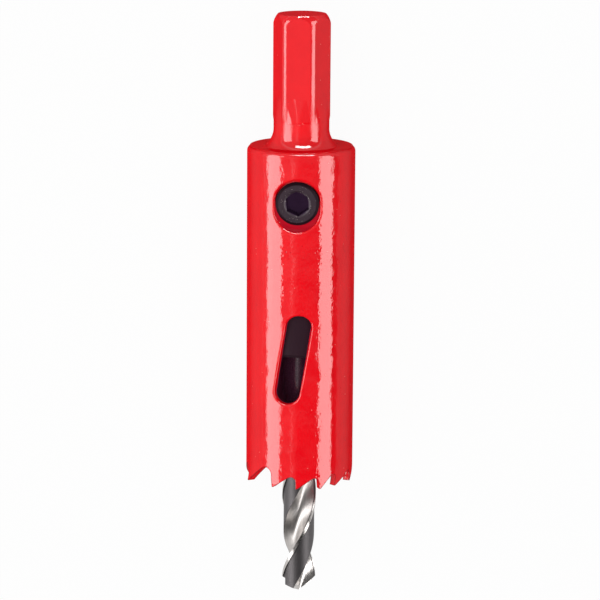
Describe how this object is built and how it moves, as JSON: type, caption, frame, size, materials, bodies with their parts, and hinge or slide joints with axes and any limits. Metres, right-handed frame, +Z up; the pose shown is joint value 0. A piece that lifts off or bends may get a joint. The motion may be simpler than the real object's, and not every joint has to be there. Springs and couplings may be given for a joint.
{
  "type": "hole saw",
  "caption": "Slim hole saw with a hexagonal shank, slotted tube with set teeth and a pilot drill held by a side screw.",
  "frame": {"origin": "under the middle of the tool, on the surface that it lies on", "axes": "+X along the tool's axis towards the end of the shank, +Z up, on the side of the set screw and one slot; the tool lies as it comes to rest, with its axis 10 mm up"},
  "size_m": [0.1098, 0.02, 0.02],
  "materials": {
    "saw_tube": "thick gloss red enamel with orange peel",
    "arbor": "thick gloss red enamel on the shank, black oxide on the plug",
    "set_screw": "black oxide",
    "pilot_drill": "ground bright, grey lands"
  },
  "bodies": {
    "root": {"saw_tube": "saw_tube", "arbor": "arbor", "set_screw": "set_screw", "pilot_drill": "pilot_drill"}
  },
  "joints": []
}
